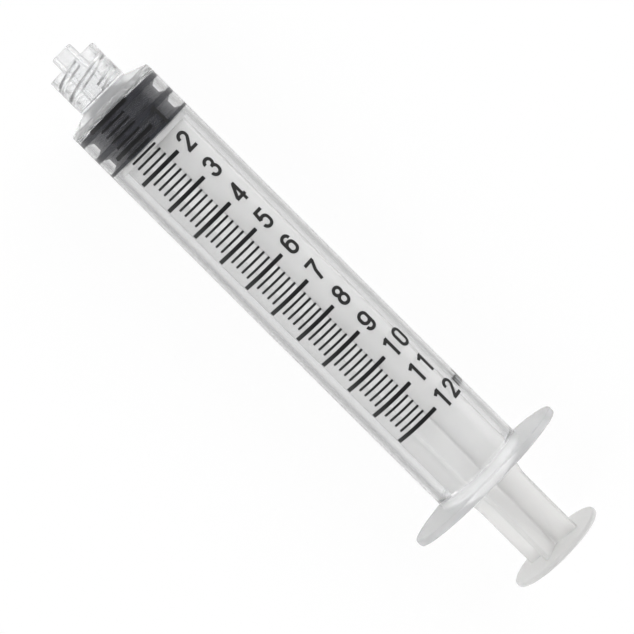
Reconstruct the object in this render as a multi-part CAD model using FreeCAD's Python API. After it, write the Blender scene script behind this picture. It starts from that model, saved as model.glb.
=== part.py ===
import FreeCAD, Part
import math
import os

# A 12 mL luer lock syringe with its plunger pushed home. It lies on the long edge of its oval
# finger flange, with its axis level. Sizes are in millimetres. Until it is placed, X runs along
# the axis from the end of the luer tip, Y along the flange's long axis, and Z is up.

# Luer tip and its threaded collar
TIP_END_R = 1.975
TIP_TAPER = 0.06
TIP_END_ROUND = 0.2
TIP_BORE_R = 1.15
TIP_PROUD = 2.4
COLLAR_LENGTH = 7.05
COLLAR_OUTER_R = 4.675
COLLAR_ROOT_R = 4.0
COLLAR_FLOOR = 0.45
COLLAR_EDGE = 0.15
THREAD_CREST_R = 3.55
THREAD_LEAD = 5.0
THREAD_STARTS = 2
THREAD_CREST_WIDTH = 0.4
THREAD_ROOT_WIDTH = 1.3
THREAD_BITE = 0.15
THREAD_END_GAP = 0.1
THREAD_START_DEG = 266.0

# Barrel: a tube with a little draft on its outside and a straight bore
SHOULDER_LENGTH = 1.4
SHOULDER_WALL = 1.68
SHOULDER_ROUND = 0.25
BORE_R = 7.45
FRONT_WALL = 0.875
REAR_WALL = 1.0
BARREL_LENGTH = 85.9
MOUTH_CHAMFER = 0.3
BEAD_HEIGHT = 0.2
BEAD_WIDTH = 1.6
BEAD_TO_MOUTH = 2.55

# Finger flange: an oval plate whose front face falls away towards its two wings
FLANGE_WING = 6.9
FLANGE_LIP = 0.85
FLANGE_THICK = 1.45
FLANGE_TIP_THICK = 1.2
FLANGE_ROUND = 0.35
FLANGE_ROOT_ROUND = 0.4

# Rubber stopper
STOPPER_CLEARANCE = 0.03
STOPPER_FRONT_GAP = 0.2
NOSE_FLAT_R = 1.5
SEAL_RIB_COUNT = 3
SEAL_RIB_PITCH = 3.45
SEAL_RIB_WIDTH = 1.0
REAR_RIB_WIDTH = 0.57
SEAL_RIB_FLANK = 0.5
SEAL_RIB_HEIGHT = 0.86

# Plunger rod: snap knob, front disc, four ribs that narrow behind the flange, and thumb rest
KNOB_CLEARANCE = 0.08
KNOB_NECK_R = 2.4
KNOB_NECK_LENGTH = 2.3
KNOB_HEAD_R = 3.5
KNOB_HEAD_LENGTH = 1.2
KNOB_NOSE_R = 2.0
KNOB_NOSE_LENGTH = 2.0
DISC_CLEARANCE = 0.1
DISC_THICK = 1.07
ROD_RIB_STEP = 0.27
ROD_RIB_THICK = 1.0
ROD_RIB_COUNT = 4
ROD_CORE_R = 0.95
ROD_NECK_R = 5.16
ROD_NECK_START = 4.25
ROD_NECK_RUN = 8.0
ROD_TURN_DEG = 32.5
THUMB_GAP = 15.4
THUMB_R = 8.75
THUMB_THICK = 0.95
THUMB_ROUND = 0.35

# Printed scale: curved marks of ink on the barrel, counted in millilitres of the bore
SCALE_CAPACITY_ML = 12
SCALE_MARKS_PER_ML = 5
SCALE_ZERO_OFFSET = 0.1
INK_THICK = 0.05
MAJOR_MARK_WIDTH = 0.7
MAJOR_MARK_DEG = (-49.0, 8.6)
MINOR_MARK_WIDTH = 0.4
MINOR_MARK_DEG = (-38.0, -2.6)

# Stations along the axis, worked out from the sizes above
COLLAR_FRONT = TIP_PROUD
SHOULDER_FRONT = COLLAR_FRONT + COLLAR_LENGTH
COLLAR_BOTTOM = SHOULDER_FRONT - COLLAR_FLOOR
BARREL_FRONT = SHOULDER_FRONT + SHOULDER_LENGTH
FLANGE_REAR = BARREL_FRONT + BARREL_LENGTH
FLANGE_FRONT = FLANGE_REAR - FLANGE_THICK
BARREL_FRONT_R = BORE_R + FRONT_WALL
BARREL_REAR_R = BORE_R + REAR_WALL
SHOULDER_SLOPE = SHOULDER_LENGTH / (BARREL_FRONT_R - COLLAR_OUTER_R)
BEAD_MIDDLE = FLANGE_REAR - BEAD_TO_MOUTH
FLANGE_HALF_LONG = BARREL_REAR_R + FLANGE_WING
FLANGE_HALF_SHORT = BARREL_REAR_R + FLANGE_LIP
SEAL_R = BORE_R - STOPPER_CLEARANCE
DISC_R = BORE_R - BEAD_HEIGHT - DISC_CLEARANCE
ROD_RIB_R = DISC_R - ROD_RIB_STEP
THUMB_FRONT = FLANGE_REAR + THUMB_GAP
THUMB_REAR = THUMB_FRONT + THUMB_THICK
ML_SPACING = 1000.0 / (math.pi * BORE_R ** 2)

ORIGIN = FreeCAD.Vector(0, 0, 0)
X_AXIS = FreeCAD.Vector(1, 0, 0)
Z_AXIS = FreeCAD.Vector(0, 0, 1)


def vector(x, y, z=0.0):
    return FreeCAD.Vector(x, y, z)


def tip_radius(x):
    """Radius of the luer cone, whose diameter grows by TIP_TAPER for each unit of length."""
    return TIP_END_R + 0.5 * TIP_TAPER * x


def barrel_radius(x):
    """Outer radius of the tube, which grows a little from the shoulder to the flange."""
    return BARREL_FRONT_R + (BARREL_REAR_R - BARREL_FRONT_R) * (x - BARREL_FRONT) / BARREL_LENGTH


def inner_cone_x(radius):
    """Station where the hollow's front cone, parallel to the shoulder, has this radius."""
    return SHOULDER_FRONT + SHOULDER_WALL + (radius - COLLAR_OUTER_R) * SHOULDER_SLOPE


def stopper_cone_x(radius):
    return inner_cone_x(radius) + STOPPER_FRONT_GAP


SEAL_FRONT = stopper_cone_x(SEAL_R)
STOPPER_REAR = SEAL_FRONT + (SEAL_RIB_COUNT - 1) * SEAL_RIB_PITCH + REAR_RIB_WIDTH
DISC_FRONT = STOPPER_REAR + KNOB_CLEARANCE
DISC_REAR = DISC_FRONT + DISC_THICK
SCALE_ZERO = SEAL_FRONT + SCALE_ZERO_OFFSET


def corner(before, point, after, radius):
    """Replaces one corner of an outline by a tangent arc, given as its start, middle and end."""
    a = (before - point).normalize()
    b = (after - point).normalize()
    half = 0.5 * math.acos(max(-1.0, min(1.0, a.dot(b))))
    reach = radius / math.tan(half)
    centre = point + (a + b).normalize() * (radius / math.sin(half))
    middle = centre + (point - centre).normalize() * radius
    return point + a * reach, middle, point + b * reach


def outline(points):
    """A closed wire through (x, radius) or (x, radius, rounding) points."""
    places = [vector(p[0], p[1]) for p in points]
    rounds = [p[2] if len(p) > 2 else 0.0 for p in points]
    ends = []
    for i, place in enumerate(places):
        if rounds[i] > 0:
            ends.append(corner(places[i - 1], place, places[(i + 1) % len(places)], rounds[i]))
        else:
            ends.append((place, None, place))
    edges = []
    for i, (start, middle, end) in enumerate(ends):
        if middle is not None:
            edges.append(Part.Arc(start, middle, end).toShape())
        following = ends[(i + 1) % len(ends)][0]
        if end.distanceToPoint(following) > 1e-7:
            edges.append(Part.LineSegment(end, following).toShape())
    return Part.Wire(edges)


def turned(points):
    """A solid of revolution about the axis."""
    return Part.Face(outline(points)).revolve(ORIGIN, X_AXIS, 360)


def moulded_tube():
    """Luer tip, collar, shoulder and tube as one turned wall with its bead inside the mouth."""
    cone_mouth = inner_cone_x(BORE_R)
    bead_half = 0.5 * BEAD_WIDTH
    root_r = barrel_radius(FLANGE_FRONT)
    root_out = root_r + FLANGE_ROOT_ROUND
    return turned([
        (0.0, TIP_BORE_R),
        (0.0, tip_radius(0.0), TIP_END_ROUND),
        (COLLAR_BOTTOM, tip_radius(COLLAR_BOTTOM)),
        (COLLAR_BOTTOM, COLLAR_ROOT_R),
        (COLLAR_FRONT, COLLAR_ROOT_R, COLLAR_EDGE),
        (COLLAR_FRONT, COLLAR_OUTER_R, COLLAR_EDGE),
        (SHOULDER_FRONT, COLLAR_OUTER_R),
        (BARREL_FRONT, BARREL_FRONT_R, SHOULDER_ROUND),
        (FLANGE_FRONT, root_r, FLANGE_ROOT_ROUND),
        (flange_front_x(root_out), root_out),
        (FLANGE_REAR, root_out),
        (FLANGE_REAR, BORE_R + MOUTH_CHAMFER),
        (FLANGE_REAR - MOUTH_CHAMFER, BORE_R),
        (BEAD_MIDDLE + bead_half, BORE_R),
        (BEAD_MIDDLE, BORE_R - BEAD_HEIGHT, BEAD_WIDTH),
        (BEAD_MIDDLE - bead_half, BORE_R),
        (cone_mouth, BORE_R),
        (inner_cone_x(TIP_BORE_R), TIP_BORE_R),
    ])


def flange_front_x(radius):
    """Station of the flange's front face, which falls back evenly from the tube to the wing tips."""
    fall = (FLANGE_THICK - FLANGE_TIP_THICK) / (FLANGE_HALF_LONG - BARREL_REAR_R)
    return FLANGE_FRONT + fall * (radius - BARREL_REAR_R)


def finger_flange():
    """The oval plate round the barrel's mouth, with its edge rounded on both faces."""
    far = FLANGE_HALF_LONG + FLANGE_THICK
    plate = turned([
        (flange_front_x(0.0), 0.0),
        (flange_front_x(far), far),
        (FLANGE_REAR, far),
        (FLANGE_REAR, 0.0),
    ])
    oval = Part.Ellipse(vector(FLANGE_HALF_LONG, 0), vector(0, FLANGE_HALF_SHORT), ORIGIN).toShape()
    prism = Part.Face(Part.Wire(oval)).extrude(Z_AXIS * 2 * FLANGE_THICK)
    # The ellipse is drawn in X and Y, so it is stood on edge: its long axis goes to Y.
    prism.rotate(ORIGIN, vector(1, 1, 1), 120)
    prism.translate(X_AXIS * (FLANGE_REAR - 1.5 * FLANGE_THICK))
    plate = plate.common(prism)
    rim = [edge for edge in plate.Edges if edge.BoundBox.YLength > FLANGE_HALF_LONG]
    plate = plate.makeFillet(FLANGE_ROUND, rim)
    hole_r = 0.5 * (BORE_R + BARREL_REAR_R)
    hole = Part.makeCylinder(hole_r, 3 * FLANGE_THICK, X_AXIS * (FLANGE_REAR - 2 * FLANGE_THICK), X_AXIS)
    return plate.cut(hole)


def thread_ridge(start_deg):
    """One start of the right-hand thread that stands inward from the collar's wall."""
    half_root = 0.5 * THREAD_ROOT_WIDTH
    half_crest = 0.5 * THREAD_CREST_WIDTH
    first = COLLAR_FRONT + COLLAR_EDGE + half_root
    last = COLLAR_BOTTOM - THREAD_END_GAP - half_root
    helix = Part.makeHelix(THREAD_LEAD, last - first, COLLAR_ROOT_R)
    base_r = COLLAR_ROOT_R + THREAD_BITE
    bite_out = THREAD_BITE * (half_root - half_crest) / (COLLAR_ROOT_R - THREAD_CREST_R)
    section = Part.makePolygon([
        vector(base_r, 0, -half_root - bite_out),
        vector(THREAD_CREST_R, 0, -half_crest),
        vector(THREAD_CREST_R, 0, half_crest),
        vector(base_r, 0, half_root + bite_out),
        vector(base_r, 0, -half_root - bite_out),
    ])
    ridge = Part.Wire(helix.Edges).makePipeShell([section], True, True)
    # The helix climbs along Z from the X side, so Z is laid along X and the start along Y.
    ridge.rotate(ORIGIN, vector(1, 1, 1), 120)
    ridge.rotate(ORIGIN, X_AXIS, start_deg)
    ridge.translate(X_AXIS * first)
    return ridge


def barrel():
    body = moulded_tube().fuse(finger_flange())
    ridges = [thread_ridge(THREAD_START_DEG + 360.0 * i / THREAD_STARTS) for i in range(THREAD_STARTS)]
    return body.fuse(ridges)


def knob_outline(rear, play):
    """Half outline of the snap knob, from its nose back to a rear face; play makes it the cavity."""
    neck_front = DISC_FRONT - KNOB_NECK_LENGTH
    head_front = neck_front - KNOB_HEAD_LENGTH
    nose = head_front - KNOB_NOSE_LENGTH
    return [
        (nose - play, 0.0),
        (nose - play, KNOB_NOSE_R + play),
        (head_front - play, KNOB_HEAD_R + play),
        (neck_front + play, KNOB_HEAD_R + play),
        (neck_front + play, KNOB_NECK_R + play),
        (rear, KNOB_NECK_R + play),
        (rear, 0.0),
    ]


def rubber_stopper():
    """A cone that fits the hollow's front, sealing ribs behind it, and a cavity for the knob."""
    core_r = SEAL_R - SEAL_RIB_HEIGHT
    points = [(stopper_cone_x(NOSE_FLAT_R), 0.0), (stopper_cone_x(NOSE_FLAT_R), NOSE_FLAT_R)]
    for i in range(SEAL_RIB_COUNT):
        front = SEAL_FRONT + i * SEAL_RIB_PITCH
        last = i == SEAL_RIB_COUNT - 1
        rear = STOPPER_REAR if last else front + SEAL_RIB_WIDTH
        if i > 0:
            points.append((front - SEAL_RIB_FLANK, core_r))
        points += [(front, SEAL_R), (rear, SEAL_R)]
        if not last:
            points.append((rear + SEAL_RIB_FLANK, core_r))
    points.append((STOPPER_REAR, 0.0))
    cavity = turned(knob_outline(STOPPER_REAR + KNOB_CLEARANCE, KNOB_CLEARANCE))
    return turned(points).cut(cavity)


def rod_rib():
    """One of the two crossed plates: wide in the bore, then drawn in along an S curve."""
    neck_x = FLANGE_REAR - ROD_NECK_START
    neck_end = neck_x + ROD_NECK_RUN
    third = ROD_NECK_RUN / 3.0
    front = DISC_FRONT + 0.5 * DISC_THICK
    rear = THUMB_FRONT + 0.5 * THUMB_THICK
    edges = []
    for side in (1, -1):
        curve = Part.BezierCurve()
        curve.setPoles([
            vector(neck_x, side * ROD_RIB_R),
            vector(neck_x + third, side * ROD_RIB_R),
            vector(neck_end - third, side * ROD_NECK_R),
            vector(neck_end, side * ROD_NECK_R),
        ])
        wide = Part.LineSegment(vector(front, side * ROD_RIB_R), vector(neck_x, side * ROD_RIB_R))
        narrow = Part.LineSegment(vector(neck_end, side * ROD_NECK_R), vector(rear, side * ROD_NECK_R))
        edges += [wide.toShape(), curve.toShape(), narrow.toShape()]
    edges.append(Part.LineSegment(vector(front, ROD_RIB_R), vector(front, -ROD_RIB_R)).toShape())
    edges.append(Part.LineSegment(vector(rear, ROD_NECK_R), vector(rear, -ROD_NECK_R)).toShape())
    plate = Part.Face(Part.Wire(Part.__sortEdges__(edges))).extrude(Z_AXIS * ROD_RIB_THICK)
    plate.translate(Z_AXIS * (-0.5 * ROD_RIB_THICK))
    return plate


def plunger_rod():
    knob = turned(knob_outline(DISC_FRONT + 0.5 * DISC_THICK, 0.0))
    disc = Part.makeCylinder(DISC_R, DISC_THICK, X_AXIS * DISC_FRONT, X_AXIS)
    thumb_rest = turned([
        (THUMB_FRONT, 0.0),
        (THUMB_FRONT, THUMB_R, THUMB_ROUND),
        (THUMB_REAR, THUMB_R, THUMB_ROUND),
        (THUMB_REAR, 0.0),
    ])
    pieces = [disc, thumb_rest]
    for i in range(ROD_RIB_COUNT // 2):
        plate = rod_rib()
        plate.rotate(ORIGIN, X_AXIS, ROD_TURN_DEG + 360.0 * i / ROD_RIB_COUNT)
        pieces.append(plate)
    core_length = THUMB_FRONT - DISC_REAR + 0.5 * (DISC_THICK + THUMB_THICK)
    pieces.append(Part.makeCylinder(ROD_CORE_R, core_length, X_AXIS * (DISC_REAR - 0.5 * DISC_THICK), X_AXIS))
    return knob.fuse(pieces).removeSplitter()


def scale_mark(middle, width, turn):
    """A strip of ink on the barrel, between two angles from the top towards +Y."""
    front, rear = middle - 0.5 * width, middle + 0.5 * width
    strip = Part.Face(outline([
        (front, barrel_radius(front)),
        (front, barrel_radius(front) + INK_THICK),
        (rear, barrel_radius(rear) + INK_THICK),
        (rear, barrel_radius(rear)),
    ]))
    # The strip starts on the Y side, a quarter turn from the top.
    strip.rotate(ORIGIN, X_AXIS, 90.0 - turn[1])
    return strip.revolve(ORIGIN, X_AXIS, turn[1] - turn[0])


def printed_scale():
    marks = []
    for i in range(SCALE_CAPACITY_ML * SCALE_MARKS_PER_ML + 1):
        middle = SCALE_ZERO + i * ML_SPACING / SCALE_MARKS_PER_ML
        if i % SCALE_MARKS_PER_ML == 0:
            marks.append(scale_mark(middle, MAJOR_MARK_WIDTH, MAJOR_MARK_DEG))
        else:
            marks.append(scale_mark(middle, MINOR_MARK_WIDTH, MINOR_MARK_DEG))
    return Part.makeCompound(marks)


def save(name, shape):
    """Puts the origin under the middle of the whole syringe, at its lowest level, and writes it."""
    shape = shape.copy()
    shape.translate(vector(-0.5 * THUMB_REAR, 0, FLANGE_HALF_SHORT))
    shape.exportStep("parts/" + name + ".step")
    box = shape.optimalBoundingBox()
    print(name, len(shape.Solids), "solids", "valid" if shape.isValid() else "NOT VALID",
          "volume %.1f" % shape.Volume,
          "x %.2f %.2f y %.2f %.2f z %.2f %.2f" % (box.XMin, box.XMax, box.YMin, box.YMax, box.ZMin, box.ZMax))


def main():
    os.makedirs("parts", exist_ok=True)
    save("barrel", barrel())
    save("plunger_rod", plunger_rod())
    save("rubber_stopper", rubber_stopper())
    save("printed_scale", printed_scale())
    print("travel to the bead %.2f" % (BEAD_MIDDLE - 0.5 * BEAD_WIDTH - STOPPER_REAR))
    print("seal front %.2f stopper rear %.2f flange %.2f-%.2f thumb %.2f-%.2f scale zero %.2f per mL %.3f" % (
        SEAL_FRONT, STOPPER_REAR, FLANGE_FRONT, FLANGE_REAR, THUMB_FRONT, THUMB_REAR, SCALE_ZERO, ML_SPACING))


main()
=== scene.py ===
"""The looks of a 12 mL luer lock syringe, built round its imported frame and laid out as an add-on."""

import math

import bmesh
import bpy
from bpy.props import FloatProperty, FloatVectorProperty, IntProperty, PointerProperty
from mathutils import Matrix, Vector


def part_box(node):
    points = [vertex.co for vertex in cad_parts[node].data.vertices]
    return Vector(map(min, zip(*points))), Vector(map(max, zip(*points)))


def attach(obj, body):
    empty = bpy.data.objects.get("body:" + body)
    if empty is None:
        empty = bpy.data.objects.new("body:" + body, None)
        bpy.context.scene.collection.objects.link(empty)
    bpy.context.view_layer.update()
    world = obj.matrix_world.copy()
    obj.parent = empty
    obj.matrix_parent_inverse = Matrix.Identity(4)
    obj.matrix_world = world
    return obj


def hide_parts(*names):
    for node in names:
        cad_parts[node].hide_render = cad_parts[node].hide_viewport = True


bl_info = {
    "name": "Luer Lock Syringe",
    "version": (1, 0, 0),
    "blender": (4, 5, 0),
    "location": "3D View > Sidebar > Syringe",
    "description": "Builds a 12 mL luer lock syringe, its lights, its floor and its camera",
    "category": "Add Mesh",
}

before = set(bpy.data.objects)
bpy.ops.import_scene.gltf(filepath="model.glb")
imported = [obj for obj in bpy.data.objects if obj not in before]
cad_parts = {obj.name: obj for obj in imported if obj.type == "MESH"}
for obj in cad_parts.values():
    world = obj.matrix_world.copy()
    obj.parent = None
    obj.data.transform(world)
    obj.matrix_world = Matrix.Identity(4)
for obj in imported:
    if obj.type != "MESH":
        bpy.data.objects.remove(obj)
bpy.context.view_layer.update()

# Shapes are drawn in millimetres, along X from the end of the luer tip, and placed in metres.
MM = 0.001
TIP_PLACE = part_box("barrel")[0].x
AXIS_HEIGHT = 0.5 * (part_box("barrel")[0].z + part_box("barrel")[1].z)
PLACE = Matrix.Translation((TIP_PLACE, 0.0, AXIS_HEIGHT)) @ Matrix.Scale(MM, 4)
TURN_STEPS = 160
SHARP_ANGLE = math.radians(32.0)
HOLD_GAP = 0.04
CLEAR = (1.0, 1.0, 1.0)
BLACK = (0.0, 0.0, 0.0)

# The print: its thickness and how deep it sits, its bars' corners and reach from the top line in degrees
INK_THICK = 0.04
INK_SINK = 0.01
BAR_ROUND = 0.13
MAJOR_SPAN = (-49.0, 8.6)
MINOR_SPAN = (-38.0, -2.6)
MAJOR_CUTS = 16
MINOR_CUTS = 10
ZERO_AHEAD = 0.1

# The numbers: the turn of the first digits, their steps, how far they stand ahead of their mark, and the cuts
# that let them bend; then the unit behind the last number, with the sizes of its two letters
DIGIT_TURN = math.radians(23.7)
DIGIT_STEP = 2.55
DIGIT_AHEAD = 0.25
DIGIT_CUT = 0.3
DIGIT_CUTS = range(-4, 26)
UNIT_PLACE = 5.5
UNIT_BASE = 1.05
UNIT_STROKE = 0.34
M_WIDTH = 2.3
M_HEIGHT = 2.05
L_HEIGHT = 2.84
L_STEP = 1.75


def length(name, default, description):
    return FloatProperty(name=name, description=description, default=default, min=0.0, unit="LENGTH",
                         subtype="DISTANCE", precision=5)


def angle(name, degrees, description):
    return FloatProperty(name=name, description=description, default=math.radians(degrees), unit="ROTATION",
                         subtype="ANGLE")


def share(name, default, description):
    return FloatProperty(name=name, description=description, default=default, min=0.0, max=1.0,
                         subtype="FACTOR")


def colour(name, default, description):
    return FloatVectorProperty(name=name, description=description, default=default, min=0.0, max=1.0, size=3,
                               subtype="COLOR")


class SyringeNozzleSettings(bpy.types.PropertyGroup):
    tip_end: length("Tip end", 0.00395, "Diameter of the luer cone at its end")
    tip_taper: share("Taper", 0.06, "Growth of the cone's diameter for each unit of its length")
    lumen: length("Lumen", 0.0023, "Diameter of the liquid's way through the tip")
    tip_proud: length("Tip proud", 0.0024, "How far the tip stands out of its collar")
    collar_length: length("Collar length", 0.00705, "Length of the lock collar")
    collar_outer: length("Collar outside", 0.00935, "Outer diameter of the lock collar")
    thread_root: length("Thread root", 0.0080, "Diameter at the root of the lock thread")
    thread_crest: length("Thread crest", 0.0071, "Diameter at the crest of the lock thread")
    thread_lead: length("Thread lead", 0.0050, "Advance of one start of the thread in one turn")
    thread_starts: IntProperty(name="Thread starts", description="Starts of the lock thread", default=2,
                               min=1)


class SyringeBarrelSettings(bpy.types.PropertyGroup):
    bore: length("Bore", 0.0149, "Diameter of the bore")
    front_outer: length("Front outside", 0.01665, "Outer diameter of the tube at its shoulder")
    rear_outer: length("Rear outside", 0.0169, "Outer diameter of the tube at its flange")
    tube_length: length("Tube length", 0.0859, "Length of the tube from its shoulder to its mouth")
    flange_long: length("Flange length", 0.0307, "Long diameter of the oval finger flange")
    flange_short: length("Flange width", 0.0186, "Short diameter of the oval finger flange")
    flange_thick: length("Flange thickness", 0.00145, "Thickness of the flange at the tube")
    flange_tip_thick: length("Flange tip thickness", 0.0012, "Thickness of the flange at its wing tips")
    tint: colour("Tint", (0.995, 0.997, 1.0), "Colour of light that has passed one surface")
    # The bore line is painted shade that darkens the tube's colour along the bore's edge.
    bore_line: share("Bore line", 0.6, "Share of light that is lost along the bore's edge")
    haze: share("Haze", 0.008, "Share of light that the tube scatters")
    thick_haze: share("Thick haze", 0.3, "Share of light that the flange and the nozzle scatter")


class SyringeStopperSettings(bpy.types.PropertyGroup):
    rib_pitch: length("Rib pitch", 0.00345, "Distance from one sealing rib to the next")
    rib_width: length("Rib width", 0.0010, "Width of a sealing rib's crest")
    groove_depth: length("Groove depth", 0.00086, "Depth of the grooves between the ribs")
    rubber: colour("Rubber", (0.014, 0.0145, 0.020), "Colour of the rubber")


class SyringeRodSettings(bpy.types.PropertyGroup):
    rib_span: length("Rib span", 0.01376, "Width across two opposite ribs inside the bore")
    neck_span: length("Neck span", 0.01032, "Width across two opposite ribs behind the flange")
    rib_thick: length("Rib thickness", 0.0010, "Thickness of a rib")
    rib_turn: angle("Rib turn", 32.5, "Turn of the crossed ribs about the axis")
    thumb_rest: length("Thumb rest", 0.0175, "Diameter of the thumb rest")
    thumb_thick: length("Thumb rest thickness", 0.00095, "Thickness of the thumb rest")
    plastic: colour("Plastic", (0.93, 0.925, 0.915), "Colour of the milky plastic")
    milk: share("Milk", 0.5, "Share of light that the milky plastic scatters")


class SyringeScaleSettings(bpy.types.PropertyGroup):
    capacity: IntProperty(name="Capacity", description="Millilitres on the scale", default=12, min=1)
    parts: IntProperty(name="Marks per mL", description="Marks for each millilitre", default=5, min=1)
    major_width: length("Major mark", 0.00070, "Thickness of a whole millilitre's mark")
    minor_width: length("Minor mark", 0.00040, "Thickness of the marks between")
    digit_height: length("Digit height", 0.00358, "Height of the digits")
    digit_width: length("Digit width", 0.00213, "Width of the digits")
    digit_stroke: length("Digit stroke", 0.00059, "Thickness of the digits' strokes")
    ink: colour("Ink", (0.006, 0.006, 0.0065), "Colour of the printed ink")


class SyringeStageSettings(bpy.types.PropertyGroup):
    focal_length: FloatProperty(name="Focal length", description="Focal length of the camera", default=152.2,
                                min=1.0, unit="CAMERA")
    distance: length("Distance", 0.430, "Distance from the camera to the syringe")
    lean: angle("Lean", 5.5, "Lean of the view towards the nozzle")
    roll: angle("Roll", 5.5, "Roll of the syringe about its axis, as the camera sees it")
    heading: angle("Heading", 44.94, "Fall of the syringe's axis below the picture's horizontal")
    floor: colour("Floor", (0.95, 0.95, 0.95), "Colour of the floor")
    walls: FloatProperty(name="Walls", description="Strength of the light from the walls", default=0.95,
                         min=0.0)
    ceiling: FloatProperty(name="Ceiling", description="Strength of the light from above", default=0.5,
                           min=0.0)
    mirrored: FloatProperty(name="Mirrored ceiling", description="Strength of the ceiling in reflections",
                            default=0.27, min=0.0)
    inside: FloatProperty(name="Light inside", default=2.1, min=0.0,
                          description="Strength of the ceiling's light that reaches the tube's inside")
    lamp: FloatProperty(name="Lamps", description="Power of each soft lamp", default=3.4, min=0.0,
                        unit="POWER", subtype="POWER")


class Nozzle:
    """Sizes of the tip and collar in millimetres, and stations along the axis from the tip's end."""
    FLOOR_THICK = 0.45
    LUMEN_ROUND = 0.08
    TIP_ROUND = 0.2
    FLOOR_ROUND = 0.12
    COLLAR_ROUND = 0.15
    THREAD_ROOT_HALF = 0.65
    THREAD_CREST_HALF = 0.2
    THREAD_CREST_ROUND = 0.1
    THREAD_BITE = 0.15
    THREAD_END_GAP = 0.1
    THREAD_START = 266.0

    def __init__(self, scene):
        s = scene.syringe_nozzle
        self.end_r = 0.5 * s.tip_end / MM
        self.taper = s.tip_taper
        self.lumen_r = 0.5 * s.lumen / MM
        self.root_r = 0.5 * s.thread_root / MM
        self.crest_r = 0.5 * s.thread_crest / MM
        self.outer_r = 0.5 * s.collar_outer / MM
        self.lead = s.thread_lead / MM
        self.starts = s.thread_starts
        self.front = s.tip_proud / MM
        self.rear = self.front + s.collar_length / MM
        self.floor = self.rear - self.FLOOR_THICK

    def tip_radius(self, x):
        return self.end_r + 0.5 * self.taper * x


class Barrel:
    """Sizes of the tube and flange in millimetres, and stations along the axis from the tip's end."""
    SHOULDER_LENGTH = 1.4
    SHOULDER_WALL = 1.68
    SHOULDER_FOOT_ROUND = 0.08
    SHOULDER_ROUND = 0.25
    CONE_ROUND = 0.15
    OUTLET_ROUND = 0.1
    MOUTH_CHAMFER = 0.3
    MOUTH_ROUND = 0.06
    BEAD_TO_MOUTH = 2.55
    BEAD_WIDTH = 1.6
    BEAD_HEIGHT = 0.2
    ROOT_ROUND = 0.4
    RIM_ROUND = 0.22

    def __init__(self, scene):
        s = scene.syringe_barrel
        self.nozzle = Nozzle(scene)
        self.bore_r = 0.5 * s.bore / MM
        self.front_r = 0.5 * s.front_outer / MM
        self.rear_r = 0.5 * s.rear_outer / MM
        self.front = self.nozzle.rear + self.SHOULDER_LENGTH
        self.length = s.tube_length / MM
        self.mouth = self.front + self.length
        self.flange_half_long = 0.5 * s.flange_long / MM
        self.flange_half_short = 0.5 * s.flange_short / MM
        self.flange_thick = s.flange_thick / MM
        self.flange_tip_thick = s.flange_tip_thick / MM
        self.flange_front = self.mouth - self.flange_thick
        self.slope = self.SHOULDER_LENGTH / (self.front_r - self.nozzle.outer_r)
        self.bead = self.mouth - self.BEAD_TO_MOUTH
        self.ml_spacing = 1000.0 / (math.pi * self.bore_r ** 2)

    def radius(self, x):
        return self.front_r + (self.rear_r - self.front_r) * (x - self.front) / self.length

    def cone_x(self, radius):
        """Station where the hollow's front cone has this radius."""
        return self.nozzle.rear + self.SHOULDER_WALL + (radius - self.nozzle.outer_r) * self.slope

    def flange_thickness(self, radius):
        fall = (self.flange_thick - self.flange_tip_thick) / (self.flange_half_long - self.rear_r)
        return self.flange_thick - fall * (radius - self.rear_r)


class Stopper:
    """Stations of the rubber stopper along the axis, in millimetres from the tip's end."""
    FRONT_GAP = 0.2
    REAR_RIB = 0.57
    FLANK = 0.5
    RIBS = 3
    NOSE_R = 1.5
    NOSE_ROUND = 0.3
    GROOVE_ROUND = 0.15
    CREST_ROUND = 0.08
    BORE_GAP = 0.03
    PRESS = 0.05

    def __init__(self, scene):
        s = scene.syringe_stopper
        self.barrel = Barrel(scene)
        self.seal_r = self.barrel.bore_r - self.BORE_GAP
        self.core_r = self.seal_r - s.groove_depth / MM
        self.pitch = s.rib_pitch / MM
        self.rib = s.rib_width / MM
        self.front = self.cone_x(self.seal_r)
        self.rear = self.front + (self.RIBS - 1) * self.pitch + self.REAR_RIB

    def cone_x(self, radius):
        return self.barrel.cone_x(radius) + self.FRONT_GAP


class Rod:
    """Sizes of the plunger rod in millimetres, and stations along the axis from the tip's end."""
    DISC_GAP = 0.08
    DISC_THICK = 1.07
    DISC_CLEAR = 0.1
    DISC_ROUND = 0.15
    THUMB_BEHIND = 15.4
    THUMB_ROUND = 0.35
    OVERLAP = 0.4
    CORE_ROUND = 0.3
    EDGE_ROUND = 0.2
    CORE_REACH = 2.0
    NECK_AHEAD = 4.25
    NECK_RUN = 8.0
    NECK_CUTS = 24

    def __init__(self, scene):
        s = scene.syringe_rod
        b = Barrel(scene)
        self.span = 0.5 * s.rib_span / MM
        self.half = 0.5 * s.rib_thick / MM
        self.drop = self.span - 0.5 * s.neck_span / MM
        self.turn = s.rib_turn
        self.neck_start = b.mouth - self.NECK_AHEAD
        self.disc_front = Stopper(scene).rear + self.DISC_GAP
        self.disc_rear = self.disc_front + self.DISC_THICK
        self.disc_r = b.bore_r - b.BEAD_HEIGHT - self.DISC_CLEAR
        self.thumb_front = b.mouth + self.THUMB_BEHIND
        self.thumb_rear = self.thumb_front + s.thumb_thick / MM
        self.thumb_r = 0.5 * s.thumb_rest / MM

    def neck_shift(self, x):
        """How far the ribs have drawn in at a station, along an S curve."""
        t = max(0.0, min(1.0, (x - self.neck_start) / self.NECK_RUN))
        return self.drop * t * t * (3.0 - 2.0 * t)


def round_corners(bm, verts, offset, segments):
    """Rounds the corners of a flat shape."""
    bmesh.ops.bevel(bm, geom=verts, offset=offset, offset_type="OFFSET", segments=segments, profile=0.5,
                    affect="VERTICES", material=-1)


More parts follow.
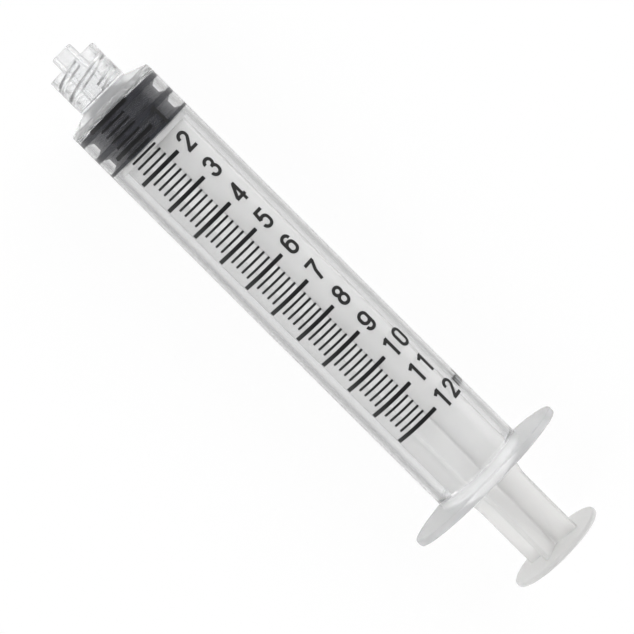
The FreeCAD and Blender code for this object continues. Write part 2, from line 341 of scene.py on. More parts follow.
def move_made(bm, made, vec):
    """Moves the vertices that an extrusion has made."""
    verts = [part for part in made["geom"] if isinstance(part, bmesh.types.BMVert)]
    bmesh.ops.translate(bm, vec=vec, verts=verts)


def cut_across(bm, place, way):
    """Adds edges where a plane crosses the mesh."""
    bmesh.ops.bisect_plane(bm, geom=bm.verts[:] + bm.edges[:] + bm.faces[:], dist=1e-5, plane_co=place,
                           plane_no=way)


def pour(bm, extra):
    """Adds one bmesh to another and frees it."""
    mesh = bpy.data.meshes.new("poured")
    extra.to_mesh(mesh)
    extra.free()
    bm.from_mesh(mesh)
    bpy.data.meshes.remove(mesh)


def outline(points, closed, segments=6):
    """A bmesh wire through (x, y) or (x, y, rounding) points, in the X and Y plane."""
    bm = bmesh.new()
    verts = [bm.verts.new((p[0], p[1], 0.0)) for p in points]
    ends = list(zip(verts, verts[1:])) + ([(verts[-1], verts[0])] if closed else [])
    for pair in ends:
        bm.edges.new(pair)
    for vert, point in zip(verts, points):
        if len(point) > 2 and len(vert.link_edges) == 2:
            a, b = [(e.other_vert(vert).co - vert.co).normalized() for e in vert.link_edges]
            round_corners(bm, [vert], point[2] / math.tan(0.5 * a.angle(b)), segments)
    return bm


def hold(bm):
    """Adds a vertex near both ends of each long edge, so that roundings don't shade their neighbours."""
    for edge in [e for e in bm.edges if e.calc_length() > 6.0 * HOLD_GAP]:
        first, last = edge.verts
        whole = edge.calc_length()
        _, middle = bmesh.utils.edge_split(edge, first, HOLD_GAP / whole)
        rest = next(e for e in middle.link_edges if last in e.verts)
        bmesh.utils.edge_split(rest, last, HOLD_GAP / rest.calc_length())


def turned(points, closed=True, steps=TURN_STEPS):
    """A solid of revolution about X, with its seam and poles closed."""
    bm = outline(points, closed)
    hold(bm)
    bmesh.ops.spin(bm, geom=bm.verts[:] + bm.edges[:], cent=(0, 0, 0), axis=(1, 0, 0), dvec=(0, 0, 0),
                   angle=2.0 * math.pi, steps=steps, use_merge=True, use_duplicate=False)
    poles = [v for v in bm.verts if math.hypot(v.co.y, v.co.z) < 1e-4]
    bmesh.ops.remove_doubles(bm, verts=poles, dist=1e-3)
    bmesh.ops.recalc_face_normals(bm, faces=bm.faces[:])
    return bm


def make_object(name, bm, place=PLACE):
    """Turns a bmesh drawn in millimetres into an object in place, and frees the bmesh."""
    bm.transform(place)
    bmesh.ops.recalc_face_normals(bm, faces=bm.faces[:])
    mesh = bpy.data.meshes.new(name)
    bm.to_mesh(mesh)
    bm.free()
    obj = bpy.data.objects.new(name, mesh)
    bpy.context.scene.collection.objects.link(obj)
    return obj


def smooth(obj):
    obj.data.shade_smooth()
    obj.data.set_sharp_from_angle(angle=SHARP_ANGLE)


def joined(obj, others):
    """Makes obj one solid with the others, which are used up."""
    for other in others:
        cut = obj.modifiers.new("Join", "BOOLEAN")
        cut.operation = "UNION"
        cut.solver = "EXACT"
        cut.object = other
    depsgraph = bpy.context.evaluated_depsgraph_get()
    mesh = bpy.data.meshes.new_from_object(obj.evaluated_get(depsgraph))
    mesh.name = obj.name
    old = obj.data
    obj.modifiers.clear()
    obj.data = mesh
    bpy.data.meshes.remove(old)
    for other in others:
        bpy.data.meshes.remove(other.data)
    return obj


class Value:
    """A shader socket that Python's operators work on; each operation adds its Math node."""

    def __init__(self, shader, socket):
        self.shader = shader
        self.socket = socket

    def math(self, operation, *values):
        return self.shader.node("ShaderNodeMath", {"operation": operation}, dict(enumerate(values)))

    def __add__(self, other):
        return self.math("ADD", self, other)

    def __radd__(self, other):
        return self.math("ADD", other, self)

    def __sub__(self, other):
        return self.math("SUBTRACT", self, other)

    def __rsub__(self, other):
        return self.math("SUBTRACT", other, self)

    def __mul__(self, other):
        return self.math("MULTIPLY", self, other)

    def __rmul__(self, other):
        return self.math("MULTIPLY", other, self)

    def __pow__(self, other):
        return self.math("POWER", self, other)

    def at_most(self, other):
        return self.math("MINIMUM", self, other)

    def at_least(self, other):
        return self.math("MAXIMUM", self, other)


class Shader:
    """The node tree of a material or of the world."""

    def __init__(self, owner, output):
        owner.use_nodes = True
        self.tree = owner.node_tree
        self.tree.nodes.clear()
        self.output = self.tree.nodes.new(output)

    def node(self, kind, settings=None, inputs=None, output=0):
        """Adds a node. Settings are set first, then the sockets, from values or links."""
        node = self.tree.nodes.new(kind)
        for name, value in (settings or {}).items():
            if name == "stops":
                self.set_stops(node.color_ramp, value)
            else:
                setattr(node, name, value)
        for name, value in (inputs or {}).items():
            socket = node.inputs[name]
            if isinstance(value, Value):
                self.tree.links.new(value.socket, socket)
            elif socket.type == "RGBA" and len(value) == 3:
                socket.default_value = (*value, 1.0)
            else:
                socket.default_value = value
        return Value(self, node.outputs[output])

    @staticmethod
    def set_stops(ramp, stops):
        while len(ramp.elements) < len(stops):
            ramp.elements.new(1.0)
        for element, (position, tone) in zip(ramp.elements, stops):
            element.position = position
            element.color = (*tone, 1.0) if hasattr(tone, "__len__") else (tone, tone, tone, 1.0)

    def place(self, scale=(1.0, 1.0, 1.0)):
        """Object coordinates in millimetres, stretched by scale."""
        spot = self.node("ShaderNodeTexCoord", output="Object")
        return self.node("ShaderNodeMapping", {}, {"Vector": spot, "Scale": tuple(k / MM for k in scale)})

    def noise(self, scale, detail=3.0, roughness=0.5, stretch=(1.0, 1.0, 1.0)):
        """Noise from 0 to 1, with about scale grains in a millimetre."""
        return self.node("ShaderNodeTexNoise", {}, {
            "Vector": self.place(stretch), "Scale": scale, "Detail": detail, "Roughness": roughness})

    def ramp(self, value, stops):
        return self.node("ShaderNodeValToRGB", {"stops": stops}, {"Fac": value})

    def blend(self, factor, first, second):
        """A mix of two colours."""
        return self.node("ShaderNodeMix", {"data_type": "RGBA"}, {0: factor, 6: first, 7: second}, output=2)

    def step(self, value, low, high):
        """A smooth rise from 0 to 1 as the value goes from low to high."""
        return self.node("ShaderNodeMapRange", {"interpolation_type": "SMOOTHSTEP"}, {
            "Value": value, "From Min": low, "From Max": high})

    def station(self):
        """Millimetres along the axis from the end of the tip."""
        spot = self.node("ShaderNodeTexCoord", output="Object")
        return 1.0 / MM * self.node("ShaderNodeSeparateXYZ", {}, {"Vector": spot}) - TIP_PLACE / MM

    def distance(self):
        """Millimetres from the axis."""
        spot = self.node("ShaderNodeTexCoord", output="Object")
        across = self.node("ShaderNodeSeparateXYZ", {}, {"Vector": spot}, "Y")
        up = self.node("ShaderNodeSeparateXYZ", {}, {"Vector": spot}, "Z") - AXIS_HEIGHT
        return 1.0 / MM * (across * across + up * up) ** 0.5

    def band(self, value, low, rise, fall, high):
        """A rise from 0 to 1 as the value goes from low to rise, and a fall from fall to high."""
        return self.step(value, low, rise) * self.step(value, high, fall)

    def bump(self, height, strength, distance):
        return self.node("ShaderNodeBump", {}, {
            "Height": height, "Strength": strength, "Distance": distance * MM})

    def mix(self, factor, first, second):
        """A mix of two shaders."""
        return self.node("ShaderNodeMixShader", {}, {0: factor, 1: first, 2: second})

    def through(self):
        return self.node("ShaderNodeBsdfTransparent", {}, {"Color": CLEAR})

    def ray(self, kind):
        return self.node("ShaderNodeLightPath", output=kind)

    def finish(self, surface):
        self.tree.links.new(surface.socket, self.output.inputs["Surface"])


def material(name):
    made = bpy.data.materials.new(name)
    return made, Shader(made, "ShaderNodeOutputMaterial")


def dress(obj, made, body, slot, *nodes):
    """Gives a piece its material and body, and hides the frame's nodes that it stands for; its record slot is
    not used.
    """
    obj.data.materials.clear()
    obj.data.materials.append(made)
    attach(obj, body)
    if nodes:
        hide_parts(*nodes)


def clear_plastic(b, tint, haze, thick_haze, bore_line):
    """Clear polypropylene: glassy along the tube, and milkier where the moulding is thick."""
    made, sh = material("clear_plastic")
    along = sh.station()
    # Where the moulding is thick, as shares from 0 to 1 along the axis
    flange = sh.step(along, b.flange_front - 2.6, b.flange_front)
    shoulder = sh.band(along, b.nozzle.floor, b.nozzle.rear, b.front + 0.6, b.front + 1.3)
    nozzle = sh.step(along, b.nozzle.floor, b.nozzle.floor - 0.5)
    tip = sh.step(along, b.nozzle.front, b.nozzle.front - 0.1)
    thick = flange + 0.5 * shoulder + 0.25 * nozzle
    flow = sh.noise(0.35, 2.0, 0.5, (0.25, 1.0, 1.0))
    rough = 0.22 * flange + 0.04 * shoulder
    # Light that would graze the bore turns back inside the wall, which shows as a grey line at the bore's edge.
    # The line is painted shade: it darkens the tube's base colour where its outer face is seen at that slant.
    edge = 1.0 - math.sqrt(1.0 - (b.bore_r / b.front_r) ** 2)
    facing = sh.node("ShaderNodeLayerWeight", {}, {"Blend": 0.5}, "Facing")
    line = sh.band(facing, edge - 0.2, edge, edge + 0.05, edge + 0.2)
    on_tube = sh.step(sh.distance(), b.bore_r + 0.3, b.bore_r + 0.4) * (1.0 - thick).at_least(0.0)
    # The thin walls of the tip, the collar and the thread get grey outlines of painted shade in the same way,
    # darker where their faces are seen at a slant.
    rim = sh.step(facing, 0.36, 0.56)
    tone = sh.blend(flow, tuple(0.995 * c for c in tint), tint)
    # Painted shade: the protruding tip's colour is 4% darker.
    tone = sh.blend(0.04 * tip, tone, BLACK)
    tone = sh.blend(bore_line * line * on_tube + 0.5 * rim * nozzle, tone, BLACK)
    glass = sh.node("ShaderNodeBsdfPrincipled", {}, {
        "Base Color": tone, "Roughness": rough, "IOR": 1.49, "Transmission Weight": 1.0})
    milk = sh.node("ShaderNodeBsdfPrincipled", {}, {
        "Base Color": (0.86, 0.865, 0.87), "Roughness": 0.35, "IOR": 1.49, "Subsurface Weight": 1.0,
        "Subsurface Radius": (1.0, 1.0, 1.0), "Subsurface Scale": 2.0 * MM})
    body = sh.mix(haze + (thick_haze - haze) * thick, glass, milk)
    sh.finish(sh.mix(sh.ray("Is Shadow Ray"), body, sh.through()))
    return made


def milky_plastic(base, milk):
    """Natural polypropylene: light passes through it, blurred."""
    made, sh = material("milky_plastic")
    flow = sh.noise(0.3, 3.0, 0.55, (0.2, 1.0, 1.0))
    tone = sh.blend(flow, tuple(0.96 * c for c in base), base)
    grain = sh.bump(sh.noise(6.0, 3.0, 0.6), 0.06, 0.02)
    solid = sh.node("ShaderNodeBsdfPrincipled", {}, {
        "Base Color": tone, "Roughness": 0.38 + 0.1 * flow, "IOR": 1.49, "Subsurface Weight": 1.0,
        "Subsurface Radius": (1.0, 1.0, 1.0), "Subsurface Scale": 6.0 * MM, "Normal": grain})
    veil = sh.node("ShaderNodeBsdfPrincipled", {}, {
        "Base Color": tone, "Roughness": 0.25, "IOR": 1.4, "Transmission Weight": 1.0})
    sh.finish(sh.mix(milk, veil, solid))
    return made


def black_rubber(base):
    """Black synthetic rubber with a film of silicone and a fine matt grain."""
    made, sh = material("black_rubber")
    cloud = sh.noise(0.8, 3.0, 0.6)
    tone = sh.blend(cloud, tuple(0.7 * c for c in base), tuple(1.5 * c for c in base))
    grain = sh.bump(sh.noise(9.0, 4.0, 0.6), 0.25, 0.03)
    sh.finish(sh.node("ShaderNodeBsdfPrincipled", {}, {
        "Base Color": tone, "Roughness": 0.5 + 0.16 * cloud, "Specular IOR Level": 0.25,
        "Normal": grain}))
    return made


def black_ink(base):
    """Pad-printed ink, a little thinner in some places than in others."""
    made, sh = material("black_ink")
    thin = sh.ramp(sh.noise(5.0, 4.0, 0.65), [(0.55, 0.0), (0.8, 1.0)])
    tone = sh.blend(thin, base, tuple(3.5 * c for c in base))
    ink = sh.node("ShaderNodeBsdfPrincipled", {}, {
        "Base Color": tone, "Roughness": 0.3 + 0.2 * thin, "Normal": sh.bump(thin, 0.3, 0.01)})
    to_the_rod = (sh.ray("Is Shadow Ray") + sh.ray("Diffuse Depth")).at_most(1.0)
    sh.finish(sh.mix(to_the_rod, ink, sh.through()))
    return made


def barrel_shell(b):
    """Tip, collar, shoulder, tube and flange as one turned wall; the flange is then drawn oval."""
    n = b.nozzle
    root_r = b.radius(b.flange_front)
    root_out = root_r + b.ROOT_ROUND
    rim = b.flange_half_long
    rim_front = b.mouth - b.flange_thickness(rim)
    half_bead = 0.5 * b.BEAD_WIDTH
    bm = turned([
        (0.0, n.lumen_r, n.LUMEN_ROUND),
        (0.0, n.tip_radius(0.0), n.TIP_ROUND),
        (n.floor, n.tip_radius(n.floor), n.FLOOR_ROUND),
        (n.floor, n.root_r, n.FLOOR_ROUND),
        (n.front, n.root_r, n.COLLAR_ROUND),
        (n.front, n.outer_r, n.COLLAR_ROUND),
        (n.rear, n.outer_r, b.SHOULDER_FOOT_ROUND),
        (b.front, b.front_r, b.SHOULDER_ROUND),
        (b.flange_front, root_r, b.ROOT_ROUND),
        (b.mouth - b.flange_thickness(root_out), root_out),
        (rim_front, rim, b.RIM_ROUND),
        (b.mouth, rim, b.RIM_ROUND),
        (b.mouth, b.bore_r + b.MOUTH_CHAMFER, b.MOUTH_ROUND),
        (b.mouth - b.MOUTH_CHAMFER, b.bore_r, b.MOUTH_ROUND),
        (b.bead + half_bead, b.bore_r),
        (b.bead, b.bore_r - b.BEAD_HEIGHT, b.BEAD_WIDTH),
        (b.bead - half_bead, b.bore_r),
        (b.cone_x(b.bore_r), b.bore_r, b.CONE_ROUND),
        (b.cone_x(n.lumen_r), n.lumen_r, b.OUTLET_ROUND),
    ])
    draw_oval(bm, b, root_out)
    return bm


def draw_oval(bm, b, root_out):
    """Moves the flange's rings so that its rim is oval and its front face follows its thickness."""
    rim = b.flange_half_long
    edge = b.RIM_ROUND + HOLD_GAP
    for vert in bm.verts:
        radius = math.hypot(vert.co.y, vert.co.z)
        if radius < root_out + 1e-4:
            continue
        across, up = vert.co.y / radius, vert.co.z / radius
        place = Vector((0.0, rim * across, b.flange_half_short * up))
        out = Vector((0.0, across / rim, up / b.flange_half_short)).normalized()
        inset = rim - radius
        inner = place - out * edge
        if inset < edge:
            spot = place - out * inset
        else:
            root = Vector((0.0, across, up)) * root_out
            spot = root.lerp(inner, (radius - root_out) / (rim - edge - root_out))
        depth = (b.mouth - vert.co.x) / b.flange_thickness(radius)
        vert.co = spot
        vert.co.x = b.mouth - depth * b.flange_thickness(math.hypot(spot.y, spot.z))


def thread_ridge(n, start_deg):
    """One start of the thread, a ridge swept along its helix inside the collar."""
    crest_half = n.THREAD_CREST_HALF
    bite_out = n.THREAD_BITE * (n.THREAD_ROOT_HALF - crest_half) / (n.root_r - n.crest_r)
    foot_half = n.THREAD_ROOT_HALF + bite_out
    foot_r = n.root_r + n.THREAD_BITE
    first = n.front + n.COLLAR_ROUND + n.THREAD_ROOT_HALF
    last = n.floor - n.THREAD_END_GAP - n.THREAD_ROOT_HALF
    bm = bmesh.new()
    verts = [bm.verts.new((first + x, y, 0.0)) for x, y in (
        (-foot_half, foot_r), (-crest_half, n.crest_r), (crest_half, n.crest_r), (foot_half, foot_r))]
    bm.faces.new(verts)
    round_corners(bm, verts[1:3], n.THREAD_CREST_ROUND, 3)
    turns = (last - first) / n.lead
    steps = round(turns * TURN_STEPS)
    start = Matrix.Rotation(math.radians(start_deg), 3, "X")
    bmesh.ops.rotate(bm, verts=bm.verts[:], cent=(0, 0, 0), matrix=start)
    bmesh.ops.spin(bm, geom=bm.verts[:] + bm.edges[:] + bm.faces[:], cent=(0, 0, 0), axis=(1, 0, 0),
                   dvec=((last - first) / steps, 0, 0), angle=2.0 * math.pi * turns, steps=steps,
                   use_merge=False, use_duplicate=False)
    bmesh.ops.recalc_face_normals(bm, faces=bm.faces[:])
    return bm


def disc(front, rear, radius, rounding):
    """A round plate with rounded edges."""
    return turned([
        (front, 0.0), (front, radius, rounding), (rear, radius, rounding), (rear, 0.0),
    ], closed=False)


def crossed_ribs(r, first, last):
    """Four ribs round a filleted core, drawn in behind the flange along an S curve."""
    bm = bmesh.new()
    corners = []
    for quarter in range(4):
        turn = Matrix.Rotation(0.5 * math.pi * quarter, 3, "X")
        for y, z in ((r.span, -r.half), (r.span, r.half), (r.half, r.half)):
            corners.append(bm.verts.new(turn @ Vector((first, y, z))))
    bm.faces.new(corners)
    inner = corners[2::3]
    outer = [vert for vert in corners if vert not in inner]
    round_corners(bm, inner, r.CORE_ROUND, 4)
    round_corners(bm, outer, r.EDGE_ROUND, 4)
    made = bmesh.ops.extrude_face_region(bm, geom=bm.faces[:])
    move_made(bm, made, (last - first, 0, 0))
    for i in range(r.NECK_CUTS + 1):
        cut_across(bm, (r.neck_start + r.NECK_RUN * i / r.NECK_CUTS, 0, 0), (1, 0, 0))
    for vert in bm.verts:
        shift = r.neck_shift(vert.co.x)
        for axis in (1, 2):
            if abs(vert.co[axis]) > r.CORE_REACH:
                vert.co[axis] -= math.copysign(shift, vert.co[axis])
    bmesh.ops.rotate(bm, verts=bm.verts[:], cent=(0, 0, 0), matrix=Matrix.Rotation(r.turn, 3, "X"))
    bmesh.ops.recalc_face_normals(bm, faces=bm.faces[:])
    return bm


def flat_bar(run, width, rounding, pieces):
    """A flat bar with rounded corners, along Y, with cuts across it so that it can be bent."""
    bm = bmesh.new()
    bmesh.ops.create_grid(bm, x_segments=1, y_segments=1, size=0.5)
    bmesh.ops.scale(bm, vec=(width, run, 1.0), verts=bm.verts[:])
    round_corners(bm, bm.verts[:], rounding, 4)
    for i in range(pieces + 1):
        cut_across(bm, (0, (i / pieces - 0.5) * (run - 2.0 * rounding), 0), (0, 1, 0))
    made = bmesh.ops.extrude_face_region(bm, geom=bm.faces[:])
    move_made(bm, made, (0, 0, INK_THICK))
    return bm


def stroke(points, closed, width):
    """One stroke of a digit: a line drawn in X and Y, raised to the ink's thickness and widened both ways."""
    bm = outline(points, closed, segments=8)
    made = bmesh.ops.extrude_edge_only(bm, edges=bm.edges[:])
    move_made(bm, made, (0, 0, INK_THICK))
    piece = make_object("stroke", bm, Matrix.Identity(4))
    widen = piece.modifiers.new("Widen", "SOLIDIFY")
    widen.thickness = width
    widen.offset = 0.0
    widen.use_even_offset = True
    return piece


def add_mesh(bm, mesh, place):
    """Adds a mesh to a bmesh, moved by a matrix."""
    extra = bmesh.new()
    extra.from_mesh(mesh)
    extra.transform(place)
    pour(bm, extra)


def wrap(bm, b, middle, turn):
    """Bends a flat print, drawn in X and Y, round the barrel. turn is its middle's angle from the top."""
    for vert in bm.verts:
        x = vert.co.x + middle
        radius = b.radius(x)
        angle_here = turn + vert.co.y / radius
        out = radius - INK_SINK + vert.co.z
        vert.co = (x, out * math.sin(angle_here), out * math.cos(angle_here))


class SYRINGE_OT_barrel(bpy.types.Operator):
    """Builds the clear barrel with its threaded nozzle and finger flange"""
    bl_idname = "syringe.barrel"
    bl_label = "Barrel"

    def execute(self, context):
        s = context.scene.syringe_barrel
        b = Barrel(context.scene)
        shell = make_object("clear_barrel", barrel_shell(b))
        n = b.nozzle
        ridges = [thread_ridge(n, n.THREAD_START + 360.0 * i / n.starts) for i in range(n.starts)]
        joined(shell, [make_object("ridge", ridge) for ridge in ridges])
        smooth(shell)
        plastic = clear_plastic(b, s.tint, s.haze, s.thick_haze, s.bore_line)
        dress(shell, plastic, "barrel", "clear_barrel", "barrel")
        return {"FINISHED"}


class SYRINGE_OT_stopper(bpy.types.Operator):
    """Builds the black rubber stopper with its sealing ribs"""
    bl_idname = "syringe.stopper"
    bl_label = "Stopper"

    def execute(self, context):
        p = Stopper(context.scene)
        crest = p.seal_r + p.PRESS
        nose = p.cone_x(p.NOSE_R)
        points = [(nose, 0.0), (nose, p.NOSE_R, p.NOSE_ROUND)]
        for i in range(p.RIBS):
            front = p.front + i * p.pitch
            rear = p.rear if i == p.RIBS - 1 else front + p.rib
            if i > 0:
                points.append((front - p.FLANK, p.core_r, p.GROOVE_ROUND))
            points += [(front, crest, p.CREST_ROUND), (rear, crest, p.CREST_ROUND)]
            if i < p.RIBS - 1:
                points.append((rear + p.FLANK, p.core_r, p.GROOVE_ROUND))
        points.append((p.rear, 0.0))
        stopper = make_object("rubber_stopper_ribbed", turned(points, closed=False))
        smooth(stopper)
        dress(stopper, black_rubber(context.scene.syringe_stopper.rubber), "stopper", "black_rubber",
              "rubber_stopper")
        return {"FINISHED"}


class SYRINGE_OT_rod(bpy.types.Operator):
    """Builds the milky plunger rod with its crossed ribs and thumb rest"""
    bl_idname = "syringe.rod"
    bl_label = "Plunger rod"

    def execute(self, context):
        s = context.scene.syringe_rod
        r = Rod(context.scene)
        rod = make_object("milky_rod", disc(r.disc_front, r.disc_rear, r.disc_r, r.DISC_ROUND))
        ribs = make_object("ribs", crossed_ribs(r, r.disc_rear - r.OVERLAP, r.thumb_front + r.OVERLAP))
        rest = make_object("rest", disc(r.thumb_front, r.thumb_rear, r.thumb_r, r.THUMB_ROUND))
        joined(rod, [ribs, rest])
        smooth(rod)
        dress(rod, milky_plastic(s.plastic, s.milk), "plunger", "milky_rod", "plunger_rod")
        return {"FINISHED"}


class SYRINGE_OT_marks(bpy.types.Operator):
    """Prints the marks of the millilitre scale"""
    bl_idname = "syringe.marks"
    bl_label = "Scale marks"

    def execute(self, context):
        s = context.scene.syringe_scale
        b = Barrel(context.scene)
        zero = Stopper(context.scene).front + ZERO_AHEAD
        whole = bmesh.new()
        for i in range(s.capacity * s.parts + 1):
            major = i % s.parts == 0
            low, high = MAJOR_SPAN if major else MINOR_SPAN
            width = (s.major_width if major else s.minor_width) / MM
            cuts = MAJOR_CUTS if major else MINOR_CUTS
            middle = zero + i * b.ml_spacing / s.parts
            run = b.radius(middle) * math.radians(high - low)
            bar = flat_bar(run, width, BAR_ROUND, cuts)
            wrap(bar, b, middle, math.radians(0.5 * (low + high)))
            pour(whole, bar)
        marks = make_object("scale_marks", whole)
        dress(marks, black_ink(s.ink), "barrel", "black_ink", "printed_scale")
        return {"FINISHED"}


# Strokes of the digits and of the unit's letters: points from the lower left of a box that is 1 wide and
# 1 high, inside the strokes' own thickness, with a rounding as a share of the box's width. True closes the line.
GLYPHS = {
    "0": [(True, [(0, 0, 0.48), (1, 0, 0.48), (1, 1, 0.48), (0, 1, 0.48)])],
    "1": [(False, [(0.5, -0.09), (0.5, 1.09)]), (False, [(0.5, 1.0), (-0.05, 0.84)])],
    "2": [(False, [(0, 0.7), (0, 1, 0.46), (1, 1, 0.46), (1, 0.66, 0.4), (0.06, 0.05)]),
          (False, [(-0.17, 0), (1.17, 0)])],
    "3": [(False, [(0.02, 0.76), (0.02, 1, 0.44), (0.94, 1, 0.45), (0.94, 0.54, 0.43), (0.4, 0.54)]),
          (False, [(0.4, 0.54), (1, 0.54, 0.47), (1, 0, 0.48), (0, 0, 0.48), (0, 0.26)])],
    "4": [(False, [(0.77, -0.09), (0.77, 1.09)]), (False, [(-0.17, 0.25), (1.17, 0.25)]),
          (False, [(0.7, 1.0), (-0.06, 0.27)])],
    "5": [(False, [(1.08, 1), (0.14, 1), (0.04, 0.5)]),
          (False, [(0.04, 0.52), (0.3, 0.62, 0.3), (1, 0.62, 0.48), (1, 0, 0.48), (0, 0, 0.48), (0, 0.24)])],
    "6": [(True, [(0, 0, 0.48), (1, 0, 0.48), (1, 0.62, 0.48), (0, 0.62, 0.48)]),
          (False, [(0, 0.3), (0, 1, 0.48), (0.97, 1, 0.46), (0.97, 0.76)])],
    "7": [(False, [(-0.17, 1), (1.17, 1)]), (False, [(1, 0.98), (0.5, 0.5, 0.4), (0.34, -0.09)])],
    "8": [(True, [(0, 0, 0.48), (1, 0, 0.48), (1, 0.54, 0.48), (0, 0.54, 0.48)]),
          (True, [(0.06, 0.54, 0.43), (0.94, 0.54, 0.43), (0.94, 1, 0.43), (0.06, 1, 0.43)])],
    "9": [(True, [(0, 0.38, 0.48), (1, 0.38, 0.48), (1, 1, 0.48), (0, 1, 0.48)]),
          (False, [(1, 0.7), (1, 0, 0.48), (0.03, 0, 0.46), (0.03, 0.24)])],
    "m": [(False, [(0, 0), (0, 1)]), (False, [(0, 0.6), (0, 0.9, 0.2), (0.5, 0.9, 0.2), (0.5, 0)]),
          (False, [(0.5, 0.6), (0.5, 0.9, 0.2), (1, 0.9, 0.2), (1, 0)])],
    "l": [(False, [(0, 0), (0, 1)])],
}


def glyph(character, width, height, thick):
    """The mesh of one digit in millimetres, flat in X and Y round its own middle, with its top towards -X."""
    strokes = []
    wide, high = width - thick, height - thick
    for closed, points in GLYPHS[character]:
        spots = [((x - 0.5) * wide, (y - 0.5) * high, *(part * wide for part in rounding))
                 for x, y, *rounding in points]
        strokes.append(stroke(spots, closed, thick))
    made = joined(strokes[0], strokes[1:])
    mesh = made.data
    bpy.data.objects.remove(made)
    mesh.transform(Matrix.Rotation(math.radians(90.0), 4, "Z"))
    return mesh


class SYRINGE_OT_numbers(bpy.types.Operator):
    """Prints the scale's numbers and its unit"""
    bl_idname = "syringe.numbers"
    bl_label = "Scale numbers"

    def execute(self, context):
        s = context.scene.syringe_scale
        b = Barrel(context.scene)
        zero = Stopper(context.scene).front + ZERO_AHEAD
        height, width, thick = s.digit_height / MM, s.digit_width / MM, s.digit_stroke / MM
        cells = {digit: glyph(digit, width, height, thick) for digit in "0123456789"}
        m = glyph("m", M_WIDTH, M_HEIGHT, UNIT_STROKE)
        el = glyph("l", UNIT_STROKE, L_HEIGHT, UNIT_STROKE)
        whole = bmesh.new()
        for i in range(1, s.capacity + 1):
            text = bmesh.new()
            for k, digit in enumerate(str(i)):
                add_mesh(text, cells[digit], Matrix.Translation((-DIGIT_AHEAD, k * DIGIT_STEP, 0.0)))
            if i == s.capacity:
                add_mesh(text, m, Matrix.Translation((UNIT_BASE - 0.5 * M_HEIGHT, UNIT_PLACE, 0.0)))
                add_mesh(text, el, Matrix.Translation((UNIT_BASE - 0.5 * L_HEIGHT, UNIT_PLACE + L_STEP, 0.0)))
            for k in DIGIT_CUTS:
                cut_across(text, (0, DIGIT_CUT * k, 0), (0, 1, 0))
            wrap(text, b, zero + i * b.ml_spacing, DIGIT_TURN)
            pour(whole, text)
        for mesh in (*cells.values(), m, el):
            bpy.data.meshes.remove(mesh)
        numbers = make_object("scale_numbers", whole)
        dress(numbers, bpy.data.materials["black_ink"], "barrel", "black_ink")
        return {"FINISHED"}


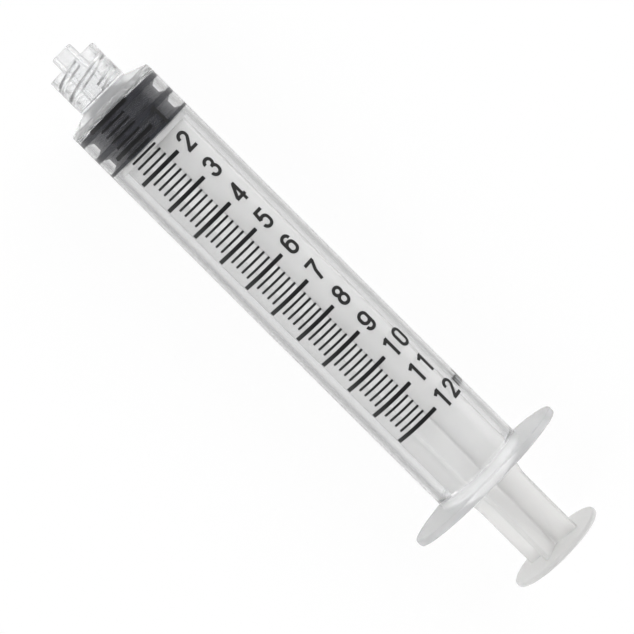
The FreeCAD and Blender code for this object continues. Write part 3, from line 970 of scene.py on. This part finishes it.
class SYRINGE_OT_stage(bpy.types.Operator):
    """Sets up the camera, the floor, the lamps and the light from all round"""
    bl_idname = "syringe.stage"
    bl_label = "Stage"
    AIM_ALONG = 0.00202
    AIM_ACROSS = -0.001017
    FLOOR_RADIUS = 1.5
    FLOOR_GLOW = 0.94
    FLOOR_MIRRORED = 0.05
    LAMPS = {"left_softbox": (-0.1, 0.7, 0.5), "right_softbox": (0.1, -0.7, 0.5)}
    LAMP_SIZE = (0.5, 0.4)

    def execute(self, context):
        scene = context.scene
        s = scene.syringe_stage
        self.add_camera(scene, s)
        self.add_floor(s)
        self.add_lights(scene, s)
        return {"FINISHED"}

    def add_camera(self, scene, s):
        roll = Matrix.Rotation(s.roll, 3, "X")
        towards = roll @ Vector((-math.sin(s.lean), 0.0, math.cos(s.lean)))
        along = roll @ Vector((math.cos(s.lean), 0.0, math.sin(s.lean)))
        across = roll @ Vector((0.0, 1.0, 0.0))
        right = along * math.cos(s.heading) + across * math.sin(s.heading)
        up = across * math.cos(s.heading) - along * math.sin(s.heading)
        aim = Vector((self.AIM_ALONG, 0.0, AXIS_HEIGHT)) + across * self.AIM_ACROSS
        data = bpy.data.cameras.new("camera")
        data.lens = s.focal_length
        data.sensor_width = 36.0
        data.clip_start = 0.01
        camera = bpy.data.objects.new("camera", data)
        camera.matrix_world = Matrix.Translation(aim + towards * s.distance) @ Matrix(
            (right, up, towards)).transposed().to_4x4()
        scene.collection.objects.link(camera)
        scene.camera = camera

    def add_floor(self, s):
        bm = bmesh.new()
        bmesh.ops.create_circle(bm, cap_ends=True, segments=96, radius=self.FLOOR_RADIUS)
        mesh = bpy.data.meshes.new("floor")
        bm.to_mesh(mesh)
        bm.free()
        floor = bpy.data.objects.new("floor", mesh)
        bpy.context.scene.collection.objects.link(floor)
        made, sh = material("floor")
        mirrored = sh.ray("Is Glossy Ray") + sh.ray("Is Transmission Ray")
        seen = self.FLOOR_GLOW * sh.ray("Is Camera Ray") + self.FLOOR_MIRRORED * mirrored
        lit = sh.node("ShaderNodeBsdfDiffuse", {}, {"Color": tuple(s.floor)})
        glow = sh.node("ShaderNodeEmission", {}, {"Color": CLEAR, "Strength": 1.0})
        sh.finish(sh.mix(seen.at_most(1.0), lit, glow))
        floor.data.materials.append(made)

    def add_lights(self, scene, s):
        for name, place in self.LAMPS.items():
            data = bpy.data.lights.new(name, "AREA")
            data.shape = "RECTANGLE"
            data.size, data.size_y = self.LAMP_SIZE
            data.energy = s.lamp
            lamp = bpy.data.objects.new(name, data)
            lamp.location = place
            lamp.rotation_euler = (-Vector(place)).to_track_quat("-Z", "Y").to_euler()
            lamp.visible_glossy = False
            lamp.visible_transmission = False
            scene.collection.objects.link(lamp)
        world = bpy.data.worlds.new("studio")
        scene.world = world
        sh = Shader(world, "ShaderNodeOutputWorld")
        way = sh.node("ShaderNodeTexCoord", output="Generated")
        height = sh.node("ShaderNodeSeparateXYZ", {}, {"Vector": way}, output="Z")
        mirrored = (sh.ray("Is Glossy Ray") + sh.ray("Is Transmission Ray")).at_most(1.0)
        inside = sh.ray("Diffuse Depth").at_most(1.0) * sh.ray("Is Transmission Ray")
        ceiling = s.ceiling + (s.mirrored - s.ceiling) * mirrored + (s.inside - s.mirrored) * inside
        strength = s.walls + (ceiling - s.walls) * sh.step(height, 0.25, 0.6)
        sh.finish(sh.node("ShaderNodeBackground", {}, {"Color": CLEAR, "Strength": strength}))
        scene.view_settings.view_transform = "Standard"


GROUPS = {
    "syringe_nozzle": SyringeNozzleSettings,
    "syringe_barrel": SyringeBarrelSettings,
    "syringe_stopper": SyringeStopperSettings,
    "syringe_rod": SyringeRodSettings,
    "syringe_scale": SyringeScaleSettings,
    "syringe_stage": SyringeStageSettings,
}
OPERATORS = (SYRINGE_OT_stage, SYRINGE_OT_barrel, SYRINGE_OT_stopper, SYRINGE_OT_rod, SYRINGE_OT_marks,
             SYRINGE_OT_numbers)


class SYRINGE_PT_panel(bpy.types.Panel):
    """Lists the syringe's pieces and their settings"""
    bl_idname = "SYRINGE_PT_panel"
    bl_label = "Luer Lock Syringe"
    bl_space_type = "VIEW_3D"
    bl_region_type = "UI"
    bl_category = "Syringe"

    def draw(self, context):
        for operator in OPERATORS:
            self.layout.operator(operator.bl_idname)
        for name, group in GROUPS.items():
            box = self.layout.box()
            for prop in group.__annotations__:
                box.prop(getattr(context.scene, name), prop)


def register():
    for name, group in GROUPS.items():
        bpy.utils.register_class(group)
        setattr(bpy.types.Scene, name, PointerProperty(type=group))
    for item in (*OPERATORS, SYRINGE_PT_panel):
        bpy.utils.register_class(item)


def unregister():
    for item in (SYRINGE_PT_panel, *reversed(OPERATORS)):
        bpy.utils.unregister_class(item)
    for name, group in reversed(GROUPS.items()):
        delattr(bpy.types.Scene, name)
        bpy.utils.unregister_class(group)


def main():
    register()
    bpy.ops.syringe.stage()
    bpy.ops.syringe.barrel()
    bpy.ops.syringe.stopper()
    bpy.ops.syringe.rod()
    bpy.ops.syringe.marks()
    bpy.ops.syringe.numbers()
    bpy.context.view_layer.update()


if __name__ == "__main__":
    main()
